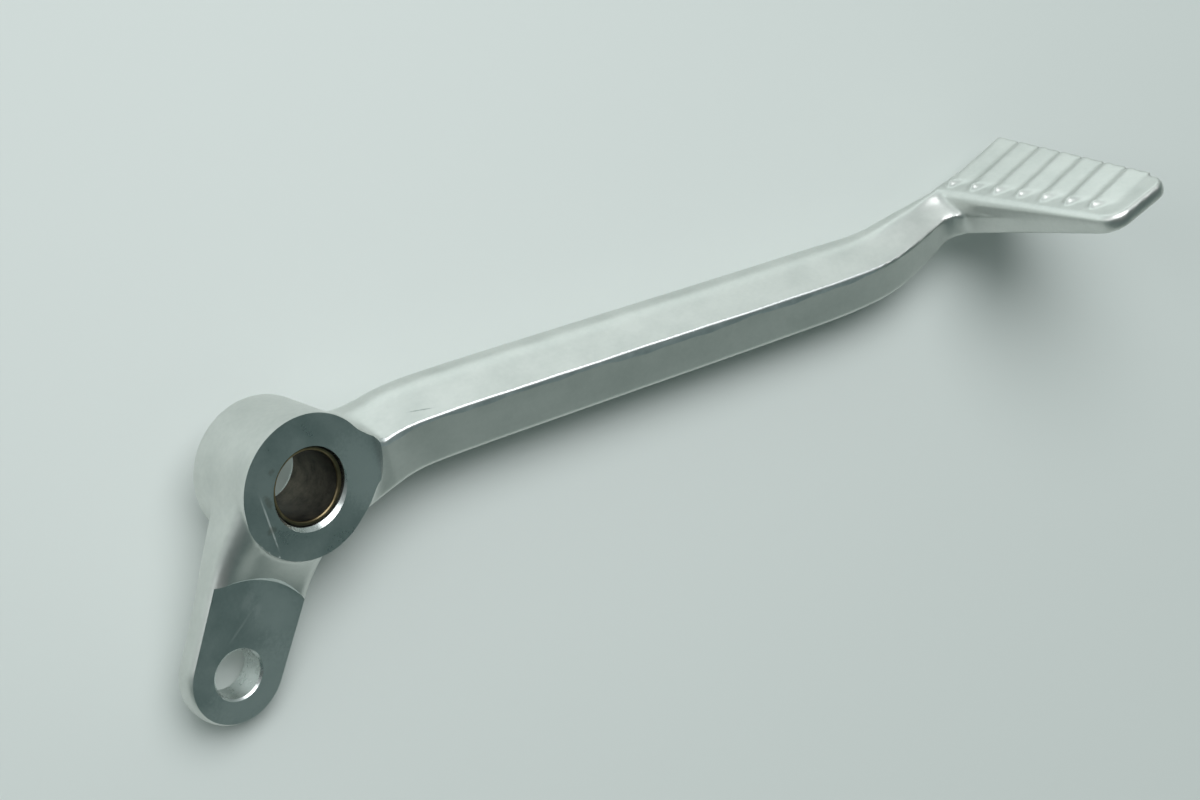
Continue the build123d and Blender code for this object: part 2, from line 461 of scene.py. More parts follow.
@dataclass
class PivotBoss:
    """Round boss at the pivot, with its machined face and its bore. Sizes in millimetres."""

    radius: float = 12.58
    half_length: float = 8.5
    back_end: float = 8.48
    back_round: float = 1.6
    facing_stock: float = 4.0
    face_cutter_radius: float = 14.27
    face_cutter_length: float = 12.0
    bore_radius: float = 7.0
    mouth_chamfer: float = 0.75
    mouth_margin: float = 0.15
    mouth_depth: float = 0.8
    mouth_shift: Pair = (-0.10, -0.58)
    round_points: int = 9
    segments: int = 240
    bore_segments: int = 192

    def blank(self) -> Object:
        """Bar with a rounded inboard end, longer than the boss by the metal that facing takes off."""
        by_sine, by_cosine = quarter_turn(self.round_points)
        side = self.radius - self.back_round * by_cosine
        end = self.back_end - self.back_round * by_sine
        profile = np.vstack([[[self.radius, -self.half_length - self.facing_stock]], np.stack([side, end], 1)])
        return grid_mesh("boss_blank", revolve(profile, self.segments))

    def face_cutter(self) -> Object:
        """Flat cutter that faces the boss, and the arm's root beside it."""
        radius, face = self.face_cutter_radius, -self.half_length
        profile = np.array([[radius, face - self.face_cutter_length], [radius, face]])
        return grid_mesh("boss_face_cutter", revolve(profile, self.segments), zones=(Zone.BOSS_FACE,))

    def bore_cutter(self) -> Object:
        """Bore with a chamfer at its inboard mouth."""
        narrow, end, chamfer = self.bore_radius, self.half_length, self.mouth_chamfer
        profile = np.array([[narrow, -end - OVERRUN], [narrow, end - chamfer],
                            [narrow + chamfer + OVERRUN, end + OVERRUN]])
        return grid_mesh("bore_cutter", revolve(profile, self.bore_segments), zones=(Zone.BORED,))

    def mouth_cutter(self) -> Object:
        """Countersink of the outboard mouth, a little off centre, so its chamfer is widest at the bottom."""
        radius, face, depth = self.bore_radius + self.mouth_margin, -self.half_length, self.mouth_depth
        profile = np.array([[radius + OVERRUN, face - OVERRUN], [radius - depth, face + depth]])
        rings = revolve(profile, self.bore_segments, self.mouth_shift)
        return grid_mesh("mouth_cutter", rings, zones=(Zone.BORED,))


@dataclass
class LowerArm:
    """Flat lower arm that pushes the brake cylinder, with its pin hole. Sizes in millimetres."""

    centre: Pair = (-25.2, -21.75)
    end_radius: float = 9.18
    upper_radius: float = 11.9
    lower_radius: float = 8.48
    front: float = -6.0
    thickness: float = 6.5
    root_thickening: float = 1.5
    thickening_fade: Pair = (12.0, 30.0)
    web_curve: float = 0.0365
    web_reach: float = 19.9
    web_width: float = 7.4
    strip_proud: float = 0.55
    strip_across: Pair = (-8.2, -4.2)
    strip_fade: Pair = (15.0, 22.0)
    edge_round: float = 2.6
    hole_radius: float = 4.3
    hole_chamfer: float = 0.35
    hole_length: float = 11.0
    spotface_radius: float = 16.5
    spotface: float = -5.0
    step_flare: float = 0.95
    eye_points: int = 72
    boss_points: int = 60
    side_points: int = 40
    round_points: int = 8
    closing_rings: int = 27
    closing_share: float = 0.97
    segments: int = 240
    hole_segments: int = 128

    def outline(self) -> ndarray:
        """Loop round the boss end and the eye end, joined by the two straight sides.

        A straight side that touches circles of radius a at the origin and b at the eye leaves both at the
        angle of the line between them, turned by 90 degrees and by asin((b - a) / distance).

        Returns:
            Array of shape (points, 2) of x and z.
        """
        distance = math.hypot(*self.centre)
        along = math.atan2(self.centre[1], self.centre[0])
        upper = along - (math.pi / 2 + math.asin((self.end_radius - self.upper_radius) / distance))
        lower = along + (math.pi / 2 + math.asin((self.end_radius - self.lower_radius) / distance))
        around_eye = np.linspace(upper, lower, self.eye_points)
        around_boss = np.linspace(lower, upper + 2 * np.pi, self.boss_points)
        radius = np.linspace(self.lower_radius, self.upper_radius, self.boss_points)
        eye = np.stack([np.cos(around_eye), np.sin(around_eye)], 1) * self.end_radius + self.centre
        boss = np.stack([np.cos(around_boss), np.sin(around_boss)], 1) * radius[:, None]
        share = np.linspace(0, 1, self.side_points + 2)[1:-1, None]
        down = eye[-1] * (1 - share) + boss[0] * share
        back = boss[-1] * (1 - share) + eye[0] * share
        return np.vstack([eye, down, boss, back])

    def blank(self) -> Object:
        """Plate with quarter-round edges: the outline moves in by the round's sagitta at both faces.

        Further rings close both faces towards the plate's middle. The front face climbs to the boss with
        the square of the distance into the web, and a smooth step across the plate leaves a low ridge along
        its upper side. The back face drops away along a smooth step of the distance from the pivot.

        Returns:
            The closed plate.
        """
        line = self.outline()
        eye = np.array(self.centre)
        by_sine, by_cosine = quarter_turn(self.round_points)
        edge = line + inward_normals(line) * (self.edge_round * by_sine)[:, None, None]
        share = np.linspace(self.closing_share, 0, self.closing_rings + 1)[:-1, None, None]
        side = np.concatenate([edge[0] * (1 - share) + eye / 2 * share, edge])
        lift = np.concatenate([np.zeros(len(share)), self.edge_round * by_cosine])[:, None]
        reach = np.hypot(side[..., 0], side[..., 1])
        across = side @ np.array([-eye[1], eye[0]]) / np.linalg.norm(eye)
        climb = self.web_curve * np.clip(self.web_reach - reach, 0, self.web_width) ** 2
        proud = self.strip_proud * (1 - smooth_step(across, *self.strip_across))
        proud = proud * (1 - smooth_step(reach, *self.strip_fade))
        near = self.front + lift - climb - proud
        back = self.root_thickening * (1 - smooth_step(reach, *self.thickening_fade))
        far = self.front + self.thickness - lift + back
        depth = np.concatenate([near, far[::-1]])
        flat = np.concatenate([side, side[::-1]])
        return grid_mesh("lower_arm_blank", np.stack([flat[..., 0], depth, flat[..., 1]], axis=-1))

    def face_cutter(self) -> Object:
        """Flat cutter round the pin hole, flared where its wall leaves the web."""
        radius, lip = self.spotface_radius, self.spotface - self.step_flare
        profile = np.array([[radius + OVERRUN, lip - OVERRUN], [radius, lip], [radius, self.spotface]])
        rings = revolve(profile, self.segments, self.centre)
        return grid_mesh("eye_face_cutter", rings, zones=(Zone.EYE_FACE,))

    def hole_cutter(self) -> Object:
        """Pin hole through the eye, with a small chamfer in front."""
        radius, chamfer = self.hole_radius, self.hole_chamfer
        profile = np.array([[radius + chamfer + OVERRUN, self.spotface - OVERRUN],
                            [radius, self.spotface + chamfer], [radius, self.front + self.hole_length]])
        rings = revolve(profile, self.hole_segments, self.centre)
        return grid_mesh("eye_hole_cutter", rings, zones=(Zone.BORED,))


@dataclass
class LongArm:
    """Cranked arm, followed along its sharp outboard edge from the boss to the pad. Sizes in millimetres."""

    boss_radius: float = 12.6
    pad_start: float = 131.2
    edge_outboard: float = 9.5
    edge_below: float = 1.2
    root_bend: float = 19.3
    neck_bend: float = 112.3
    root_softness: float = 4.0
    neck_softness: float = 6.6
    swing: float = 27.9
    drop: float = 24.1
    root_width: float = 14.6
    waist_width: float = 13.6
    neck_width: float = 6.6
    neck_taper: float = 33.2
    root_depth: float = 9.9
    waist_depth: float = 8.08
    neck_depth: float = 4.97
    crest: float = 3.75
    run_back: float = 1.9
    neck_back: float = 2.4
    back_lean: float = 0.20
    side_draft: float = 0.17
    parting_drop: float = 0.4
    flare_start: float = 6.0
    flare_length: float = 10.0
    flare_rise: float = 2.6
    flare_tightening: float = 2.0
    lip_start: float = 2.6
    lip_length: float = 3.6
    lip_rise: float = 4.6
    meeting_start: float = 3.4
    meeting_length: float = 6.0
    meeting_spread: float = 5.4
    meeting_fall: float = 1.0
    crown_start: float = 0.455
    crown_start_rise: float = 0.686
    crown_top: float = 0.72
    run_crown: float = 6.9
    neck_crown: float = 1.7
    neck_hollow: float = 0.27
    hollow_fade: Pair = (122.0, 130.0)
    run_sweep: float = 20.0
    neck_sweep: float = 9.0
    sweep_cut: float = 8.0
    sweep_fade: Pair = (121.0, 127.0)
    sweep_least: float = 0.8
    edge_round: float = 0.12
    back_round: float = 1.2
    belly_round: float = 0.8
    parting_round: float = 0.6
    ridge_proud: float = 0.3
    ridge_fade: float = 0.85
    trim_ends: Pair = (9.0, 126.0)
    land_out: float = 0.13
    land_depth: float = 2.2
    land_draft: float = 0.10
    land_wander: float = 0.26
    waves: tuple[Triple, ...] = ((0.10, 2.3, 0.0), (0.09, 5.1, 1.0), (0.14, 13.0, 2.2), (0.05, 0.9, 0.0))
    draw_off: float = 1.0
    draw_fade: Pair = (114.0, 127.0)
    facet_turns: Triple = (40.0, 57.0, 74.0)
    facet_width: float = 0.19
    facet_lead: float = 2.2
    ribbon_reach: float = 6.0
    ribbon_top: float = 2.5
    stations: tuple[Triple, ...] = ((3.6, 22.0, 0.5), (22.0, 108.0, 1.5), (108.0, 133.6, 0.5))
    trim_step: float = 0.5
    corner_points: int = 9

    def share(self, x: ndarray) -> ndarray:
        """Share of the oblique run at x: soft ramps (t + sqrt(t^2 + s^2)) / 2 from each bend, subtracted."""
        root, neck = x - self.root_bend, x - self.neck_bend
        run = (root + np.hypot(root, self.root_softness)) / 2 - (neck + np.hypot(neck, self.neck_softness)) / 2
        return run / (self.neck_bend - self.root_bend)

    def edge(self, x: ndarray) -> ndarray:
        """Points of the outboard edge at x, as an array of shape (stations, 3)."""
        share = self.share(x)
        return np.stack([x, -self.edge_outboard - self.swing * share, -self.edge_below - self.drop * share], 1)

    def place(self, x: ndarray, section: ndarray) -> ndarray:
        """Carries sections along the edge: point = edge + u inboard + v over.

        The heading is the edge's slope over a millimetre. Inboard is up x heading, and over is heading x
        inboard.

        Args:
            x: stations along the arm.
            section: array of shape (stations, points, 2) of u and v.

        Returns:
            Array of shape (stations, points, 3).
        """
        heading = unit(self.edge(x + 0.5) - self.edge(x - 0.5))
        inboard = unit(np.cross([0.0, 0.0, 1.0], heading))
        over = np.cross(heading, inboard)
        return self.edge(x)[:, None] + section[..., :1] * inboard[:, None] + section[..., 1:] * over[:, None]

    def taper(self, x: ndarray) -> ndarray:
        """Growth of the neck's narrowing, the square of the distance into it."""
        return (np.maximum(x - self.pad_start + self.neck_taper, 0) / self.neck_taper) ** 2

    def shift(self, x: ndarray) -> tuple[ndarray, ndarray]:
        """Moves of the edge away from its path at x: outboard at the pad, and up at the boss."""
        lip = self.lip_rise * cosine_rise(self.boss_radius + self.lip_start - x, self.lip_length)
        meeting = cosine_rise(x - self.pad_start + self.meeting_start, self.meeting_length)
        return self.meeting_spread * meeting, lip - self.meeting_fall * meeting

    def blank(self) -> Object:
        """Arm as forged, with a sharp ridge outboard that the trimming takes off.

        The section is a polygon with rounded corners. Its top climbs from the edge, bends over a wide sweep
        and turns down over the crown. At the neck the top hollows out below the crown.

        Returns:
            The closed arm.
        """
        x = np.concatenate([np.arange(*stretch) for stretch in self.stations])
        share, taper = self.share(x), self.taper(x)
        part = np.minimum(taper, 1)
        near_root = cosine_rise(self.boss_radius + self.flare_start - x, self.flare_length)
        spread, edge = self.shift(x)
        width = between(self.root_width, self.waist_width, share)
        width = width + (self.neck_width - self.waist_width) * taper
        depth = between(self.root_depth, self.waist_depth, share)
        depth = depth + (self.neck_depth - self.waist_depth) * taper
        crest = self.crest + self.flare_rise * near_root
        back = between(self.run_back, self.neck_back, taper) + self.flare_rise * near_root
        inset = self.side_draft * depth
        ridge = self.ridge_proud * (1 - self.ridge_fade * part)
        slope = self.crown_start_rise * crest / (self.crown_start * width)
        hollow = self.crown_start_rise - self.neck_hollow * smooth_step(x, *self.hollow_fade)
        corner = np.stack([
            np.stack([-spread - ridge, edge - ridge * slope], 1),
            np.stack([inset - spread, -depth], 1),
            np.stack([width - inset, -depth], 1),
            np.stack([width, -self.parting_drop + 0 * x], 1),
            np.stack([width - self.back_lean * back, back], 1),
            np.stack([self.crown_top * width, crest], 1),
            np.stack([self.crown_start * width, hollow * crest], 1),
        ], axis=1)
        crown = self.run_crown - self.flare_tightening * near_root + (self.neck_crown - self.run_crown) * part
        sweep = between(self.run_sweep, self.neck_sweep, part)
        sweep = np.maximum(sweep - self.sweep_cut * smooth_step(x, *self.sweep_fade), self.sweep_least)
        even = (self.edge_round, self.belly_round, self.belly_round, self.parting_round, self.back_round)
        radii = np.stack([*(value * np.ones_like(x) for value in even), crown, sweep], axis=1)
        section = rounded_outline(corner, radii, self.corner_points)
        return grid_mesh("long_arm_blank", self.place(x, section))

    def trim_cutter(self) -> Object:
        """Ribbon outboard of the edge that leaves an upright land and a worn round above it.

        Three narrow facets lead from the arm's top to the land. The land wanders by a few tenths, as a
        hand-dressed parting line does: the wander is a sum of four sine waves along x. The ribbon draws off
        outboard where the arm meets the pad.

        Returns:
            The cutter.
        """
        x = np.arange(*self.trim_ends, self.trim_step)
        level = 0 * x
        outboard, lift = self.shift(x)
        slope = self.crown_start_rise * self.crest / (self.crown_start * self.waist_width)
        wander = sum(height * np.sin(x / length + phase) for height, length, phase in self.waves)
        face = -self.land_out + self.land_wander * wander - self.draw_off * smooth_step(x, *self.draw_fade)
        turn = np.radians(self.facet_turns)
        fall = self.facet_width * np.stack([-np.cos(turn), -np.sin(turn)], 1)
        foot = fall[2] + fall[1] + fall[0]
        top = np.stack([face - foot[0], slope * (face - foot[0])], 1)
        start = top - self.facet_lead * fall[0]
        steps = [start, top, top + fall[0], top + fall[0] + fall[1], top + foot]
        outer = [np.stack([face + self.land_draft, level - self.land_depth], 1),
                 np.stack([level - self.ribbon_reach, level - self.land_depth], 1),
                 np.stack([level - self.ribbon_reach, level + self.ribbon_top], 1),
                 np.stack([start[:, 0], level + self.ribbon_top], 1)]
        section = np.stack(steps + outer, axis=1) + np.stack([-outboard, lift], 1)[:, None]
        zones = (Zone.EDGE_HIGHLIGHT,) * 4 + (Zone.TRIMMED,) * 5
        return grid_mesh("trim_cutter", self.place(x, section), zones=zones)


@dataclass
class ToePad:
    """Ribbed wedge that the foot presses. Sizes in millimetres."""

    start: float = 131.2
    inner: float = -31.1
    tread: float = -22.0
    heel_span: float = 42.82
    toe_span: float = 44.62
    inner_length: float = 20.97
    outer_length: float = 15.0
    inner_skew: float = 3.6
    inner_thickness: float = 9.88
    outer_thickness: float = 2.9
    parting_inner: float = 4.2
    parting_outer: float = 1.5
    parting_step: float = 0.1
    draft: float = math.tan(math.radians(6.0))
    corner_rounds: tuple[float, ...] = (1.5, 4.5, 3.2, 1.6)
    rim_round: float = 0.8
    heel_round_inner: float = 1.9
    heel_round_outer: float = 1.1
    heel_fade: Pair = (0.01, 0.09)
    ledge: float = 0.5
    ledge_fade: Pair = (0.12, 0.48)
    rib_count: int = 7
    rib_pitch: float = 5.38
    rib_first: float = 4.4
    rib_offset: float = 2.0
    rib_flank: float = 1.2
    rib_fall: float = 4.0
    nose_fall: float = 1.4
    rib_height: float = 0.54
    nose_height: float = 0.88
    rib_border: float = 2.5
    rib_lead: float = 0.4
    rib_nose: float = 1.0
    nose_length: float = 3.6
    nose_hold: float = 0.3
    rib_setback: float = 0.1
    rib_end_round: float = 0.35
    rib_sink: float = 0.3
    rib_root: float = 2.0
    corner_points: int = 14
    side_points: int = 24
    long_side: float = 2.0
    round_points: int = 7
    wall_rings: int = 6
    rib_points: int = 61
    rib_stations: int = 120

    def outline(self) -> ndarray:
        """Plan of the pad at its parting line, with round corners and divided sides.

        Returns:
            Array of shape (points, 2) of x and y.
        """
        corners = np.array([[
            [self.start, self.inner],
            [self.start, self.inner - self.heel_span],
            [self.start + self.outer_length, self.inner - self.toe_span],
            [self.start + self.inner_length, self.inner - self.inner_skew],
        ]])
        rounded = rounded_outline(corners, np.array([self.corner_rounds]), self.corner_points)[0]
        ends = np.roll(rounded, -1, 0)
        far = np.linalg.norm(ends - rounded, axis=1) > self.long_side
        return np.vstack([np.linspace(a, b, self.side_points + 1)[:-1] if divided else a[None]
                          for a, b, divided in zip(rounded, ends, far)])

    def blank(self) -> Object:
        """Body of the pad as rings from the underside to the tread.

        Each ring is the outline moved in by the draft times its height from the parting line, and by the
        sagitta of the rim rounds. Towards the neck the heel's round grows and the heel stands out below the
        parting line as a small ledge. The underside rises evenly towards the outer end.

        Returns:
            The closed body.
        """
        line = self.outline()
        inward = inward_normals(line)
        along = (self.inner - line[:, 1]) / self.toe_span
        under = -between(self.inner_thickness, self.outer_thickness, along)
        parting = -between(self.parting_inner, self.parting_outer, along)
        heel = np.clip(inward[:, 0], 0, 1) * smooth_step(along, *self.heel_fade)
        rim = between(self.heel_round_inner, self.heel_round_outer, along)
        rim = between(self.rim_round, rim, heel)
        ledge = self.ledge * heel * (1 - smooth_step(along, *self.ledge_fade))
        round_in, round_up = (sagitta[:, None] for sagitta in quarter_turn(self.round_points))
        low = under + self.rim_round * round_up
        high = -rim * round_up[::-1]
        share = np.linspace(0, 1, self.wall_rings + 2)[1:-1, None]
        step = parting + self.parting_step
        below = low[-1] * (1 - share) + parting * share
        above = step * (1 - share) + high[0] * share
        level = np.vstack([low, below, parting[None], step[None], above, high])
        foot = np.zeros((len(share) + 1, len(line)))
        extra = np.concatenate([self.rim_round * round_in - ledge, foot - ledge, foot, rim * round_in[::-1]])
        inset = self.draft * np.abs(level - parting) + extra
        plan = line[None] + inward[None] * inset[..., None]
        return grid_mesh("pad_blank", np.concatenate([plan, (self.tread + level)[..., None]], axis=-1))

    def ribs(self) -> list[Object]:
        """Ribs across the tread.

        A rib rises over its short inboard flank along half a cosine wave, falls evenly on the other side and
        leaves a flat strip before the next rib. At the heel end it stands higher and narrower, over a smooth
        step of the distance from its nose, and slopes down evenly. Near the toe edge it bends down with the
        rim.

        Returns:
            One closed solid for each rib.
        """
        across = np.linspace(0, self.rib_pitch, self.rib_points)
        rise = cosine_rise(across, self.rib_flank)
        made = []
        for index in range(self.rib_count):
            middle = self.inner - self.rib_first - self.rib_pitch * index
            side = (self.inner - self.inner_skew - middle) / (self.toe_span - self.inner_skew)
            toe = self.start + self.inner_length + (self.outer_length - self.inner_length) * side
            toe = toe - self.rib_setback
            x = np.linspace(self.start + self.rib_border - self.rib_lead, toe, self.rib_stations)
            into = x[:, None] - self.start - self.rib_border
            body = smooth_step(into, self.nose_hold * self.nose_length, self.nose_length)
            nose = np.maximum(1 - into / self.rib_nose, 0)
            width = between(self.nose_fall, self.rib_fall, body)
            height = between(self.nose_height, self.rib_height, body)
            arc = rise - np.clip((across - self.rib_flank) / width, 0, 1)
            bend = self.rib_end_round
            end = np.sqrt(np.maximum(bend ** 2 - np.maximum(x - toe + bend, 0) ** 2, 0)) - bend
            top = np.maximum(height * (arc - nose) + end[:, None], -self.rib_sink)
            floor = np.full((len(x), 1), -self.rib_root)
            level = np.hstack([floor, top, floor])
            y = middle + self.rib_offset - np.concatenate([across[:1], across, across[-1:]])
            points = np.stack(np.broadcast_arrays(x[:, None], y[None], self.tread + level), axis=-1)
            made.append(grid_mesh(f"rib_{index}", points))
        return made


@dataclass
class LeverForging:
    """The lever: blanks merged as one forging, blended at their roots and then machined."""

    boss: PivotBoss = field(default_factory=PivotBoss)
    lower: LowerArm = field(default_factory=LowerArm)
    arm: LongArm = field(default_factory=LongArm)
    pad: ToePad = field(default_factory=ToePad)
    voxel: float = 0.38
    lower_blend: float = 0.5
    root_blend: float = 0.12
    neck_blend: float = 0.14
    boss_fade: Pair = (2.5, 5.0)
    lower_side: Pair = (-2.0, 4.0)
    lower_depth: Pair = (-7.5, -4.5)
    root_fade: Pair = (3.0, 8.0)
    neck_start: Pair = (124.0, 128.0)
    neck_end: Pair = (131.4, 133.0)
    neck_side: Pair = (-45.0, -41.0)
    even_rounds: int = 5
    even_in: float = 0.5
    even_out: float = 0.52
    fill_rounds: int = 260
    normal_rounds: int = 10
    fill: float = 0.6
    slide: float = 0.1
    least_weight: float = 0.01
    weld: float = 0.005
    sharp_angle: float = 32.0

    def merged(self) -> Object:
        """Joins the blanks and remeshes them as one skin of even quads."""
        blanks = [self.boss.blank(), self.lower.blank(), self.arm.blank(), self.pad.blank(), *self.pad.ribs()]
        first = blanks[0]
        with bpy.context.temp_override(active_object=first, selected_editable_objects=blanks):
            bpy.ops.object.join()
        skin = first.modifiers.new("skin", "REMESH")
        skin.mode = "VOXEL"
        skin.voxel_size = self.voxel
        mesh = evaluated(first)
        drop(first)
        LOG.info("lever skin: %d vertices from %d blanks", len(mesh.vertices), len(blanks))
        return link_new("lever_skin", mesh)

    def blend_weight(self, place: ndarray) -> ndarray:
        """How far the forging's roots are blended at each point, from 0 to 1.

        Args:
            place: array of shape (points, 3).

        Returns:
            Weights near the joins of the boss with both arms, and of the neck with the pad.
        """
        x, y, z = place.T
        near_boss = 1 - smooth_step(np.abs(np.hypot(x, z) - self.boss.radius), *self.boss_fade)
        lower = near_boss * smooth_step(-x - z, *self.lower_side) * smooth_step(y, *self.lower_depth)
        root = near_boss * smooth_step(x, *self.root_fade)
        neck = smooth_step(x, *self.neck_start) * (1 - smooth_step(x, *self.neck_end))
        neck = neck * smooth_step(y, *self.neck_side)
        return np.clip(self.lower_blend * lower + self.root_blend * root + self.neck_blend * neck, 0, 1)

    def relax(self, skin: Object) -> None:
        """Evens out the skin and fills its concave roots.

        A Taubin pass, a move towards the mean of the neighbours and a slightly larger one away from it,
        removes the grain of the remesh. Then each vertex moves out along its normal by the part of that mean
        that lies outside the skin, so hollow corners fill into smooth roots and ridges stay.

        Args:
            skin: merged forging.
        """
        mesh = skin.data
        place = positions(mesh)
        pairs = read(mesh.edges, "vertices", 2)
        ends = np.concatenate([pairs, pairs[:, ::-1]])
        count = np.bincount(ends[:, 0], minlength=len(place))[:, None]
        quads = read(mesh.polygons, "vertices", 4)

        def gathered(index: ndarray, vectors: ndarray, size: int) -> ndarray:
            """Sum of the vectors that share an index."""
            return np.stack([np.bincount(index, vectors[:, axis], size) for axis in range(3)], 1)

        def pull(points: ndarray) -> ndarray:
            """Vector from each point to the mean of its neighbours."""
            return gathered(ends[:, 0], points[ends[:, 1]], len(points)) / count - points

        def normals(points: ndarray) -> ndarray:
            """Unit normal of each point, from the diagonals' cross products of its quads."""
            corner = points[quads]
            face = np.cross(corner[:, 2] - corner[:, 0], corner[:, 3] - corner[:, 1])
            total = gathered(quads.ravel(), np.repeat(face, 4, 0), len(points))
            return total / np.maximum(np.linalg.norm(total, axis=1, keepdims=True), 1e-12)

        for _ in range(self.even_rounds):
            place = place + self.even_in * pull(place)
            place = place - self.even_out * pull(place)
        weight = self.blend_weight(place)
        active = np.flatnonzero(weight > self.least_weight)
        weight = weight[active, None]
        slot = np.full(len(place), -1)
        slot[active] = np.arange(len(active))
        near = ends[slot[ends[:, 0]] >= 0]
        here, there = slot[near[:, 0]], near[:, 1]
        for step in range(self.fill_rounds):
            if step % self.normal_rounds == 0:
                outward = normals(place)[active]
            move = gathered(here, place[there], len(active)) / count[active] - place[active]
            along = (move * outward).sum(1, keepdims=True)
            out, slide = np.maximum(along, 0), move - along * outward
            place[active] += weight * (self.fill * out * outward + self.slide * slide)
        mesh.vertices.foreach_set("co", place.astype(np.float32).ravel())
        mesh.update()

    def machined(self, skin: Object) -> Mesh:
        """Cuts the machined faces, the bores and the trimmed edge out of the skin.

        Args:
            skin: merged forging, which is used up.

        Returns:
            The lever's mesh, in millimetres.
        """
        cutters = [self.arm.trim_cutter(), self.boss.face_cutter(), self.lower.face_cutter(),
                   self.boss.bore_cutter(), self.boss.mouth_cutter(), self.lower.hole_cutter()]
        for cutter in cutters:
            cut = skin.modifiers.new(cutter.name, "BOOLEAN")
            cut.operation = "DIFFERENCE"
            cut.solver = "EXACT"
            cut.object = cutter
            cut.material_mode = "INDEX"
        weld = skin.modifiers.new("weld", "WELD")
        weld.merge_threshold = self.weld
        facets = skin.modifiers.new("facets", "TRIANGULATE")
        facets.min_vertices = 5
        facets.ngon_method = "BEAUTY"
        mesh = evaluated(skin)
        drop(skin, *cutters)
        return mesh

    def build(self) -> Object:
        """Makes the finished lever in the frame of the CAD, in metres."""
        skin = self.merged()
        self.relax(skin)
        mesh = self.machined(skin)
        mesh.name = "pedal_lever_forging"
        finish_shading(mesh, self.sharp_angle)
        part_zones(mesh, Zone.EDGE_HIGHLIGHT)
        lever = link_new("pedal_lever_forging", mesh)
        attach(lever, "root")
        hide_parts("pedal_lever")
        return lever

    def marks(self) -> tuple[tuple[Mark, ...], ...]:
        """Wear and painted shade of the forged skin, of the boss face and of the eye face, in that order.

        A darker streak on the arm's flat is painted shade of a crease. The boss face is polished towards the
        arm, with a scratch, brown stains beside the bore and bright chips on its rim. The eye face is polished
        in two wide patches and lightly scuffed.

        Returns:
            The marks of each zone.
        """
        boss, eye, level = -self.boss.half_length, self.lower.spotface, (0.0, 0.0, 0.0)
        # Painted shade: a darker, duller streak stands in for the shade of a crease in the arm's flat
        crease_shade = Mark((24.0, -8.85, -2.0), (2.9, 0.16, 2.5), (0.0, 0.0, -29.0), "6f7b78", 0.4, 0.6)
        scratch = Mark((-9.2, boss, -0.7), (7.0, 1.0, 0.24), (0.0, 98.4, 0.0), "eef2f0", 0.7, 0.7)
        polish = tuple(Mark((x, y, z), (wide, 2.0, high), level, "f2f6f4", 0.34, strength)
                       for x, y, z, wide, high, strength in ((9.5, boss, -4.0, 7.0, 11.0, 0.7),
                                                             (-24.0, eye, -26.0, 14.0, 9.0, 0.7),
                                                             (-14.0, eye, -17.0, 6.0, 12.0, 0.6)))
        stains = tuple(Mark((x, boss, z), (wide, 1.0, high), level, "7a705c", 0.4, strength)
                       for x, z, wide, high, strength in ((-7.6, 2.6, 0.8, 2.0, 0.4),
                                                          (-9.4, -1.8, 1.2, 0.9, 0.35),
                                                          (-4.6, 6.9, 0.9, 0.6, 0.35)))
        chips = tuple(Mark((x, boss, z), (0.7, 1.0, 0.3), (0.0, turn, 0.0), "f2f6f4", 0.75, 0.9)
                      for x, z, turn in ((-12.3, -3.4, 100.0), (-11.7, -5.0, 115.0), (-10.6, -6.9, 128.0)))
        scuffs = tuple(Mark((x, eye, z), (length, 1.0, wide), (0.0, turn, 0.0), "eef2f0", 0.5, strength)
                       for x, z, length, wide, turn, strength in ((-20.6, -14.6, 5.2, 0.3, 160.0, 0.3),
                                                                  (-17.6, -11.6, 2.4, 1.3, 150.0, 0.22),
                                                                  (-17.0, -14.2, 1.8, 1.0, 120.0, 0.2)))
        return (crease_shade,), (polish[0], scratch, *stains, *chips), (*polish[1:], *scuffs)

    def dress(self, lever: Object) -> None:
        """Puts one finish into each zone's slot.

        Args:
            lever: the built lever.
        """
        skin, boss, eye = self.marks()
        finishes = {
            # Blasted skin: tiny dents spread the light, so the eye sees soft, wide highlights on silver grey;
            # it carries the painted crease shade
            Zone.FORGED: MetalFinish("blasted_forged_aluminium", "dfe1dd", "d1d4d0", 0.35, 0.41, 0.9, 7.0,
                                     0.010, marks=skin),
            # Turned faces: fine rings in a smooth cut, so a flat face mirrors the room as one dark tone
            Zone.BOSS_FACE: MetalFinish("turned_aluminium_boss", "d6dcda", "c0c8c6", 0.26, 0.34, 0.6, 5.0,
                                        0.003, 0.35, marks=boss),
            Zone.EYE_FACE: MetalFinish("turned_aluminium_eye", "dae0de", "c4ccca", 0.26, 0.34, 0.6, 5.0,
                                       0.003, 0.35, self.lower.centre, eye),
            # Bored walls and chamfers: the smoothest cut, so narrow rims flash white
            Zone.BORED: MetalFinish("bored_aluminium", "dde2e0", "c9d0cd", 0.22, 0.34, 0.5, 4.0, 0.003),
            # Ground parting line: coarse and dull, so the land reads as a paler band without highlights
            Zone.TRIMMED: MetalFinish("trimmed_aluminium", "dbe3e3", "c6cfcf", 0.42, 0.54, 0.7, 3.0, 0.010),
            # Facets of the arm's rounded edge: they catch the lamp, and a tint slightly paler than the skin
            # adds a painted highlight, so a thin bright line follows the arm
            Zone.EDGE_HIGHLIGHT: MetalFinish("edge_highlight_aluminium", "e2e6e4", "d6dbd9", 0.36, 0.46, 0.6, 4.0,
                                        0.004),
        }
        paint(lever.data, *(finishes[zone].material() for zone in Zone))


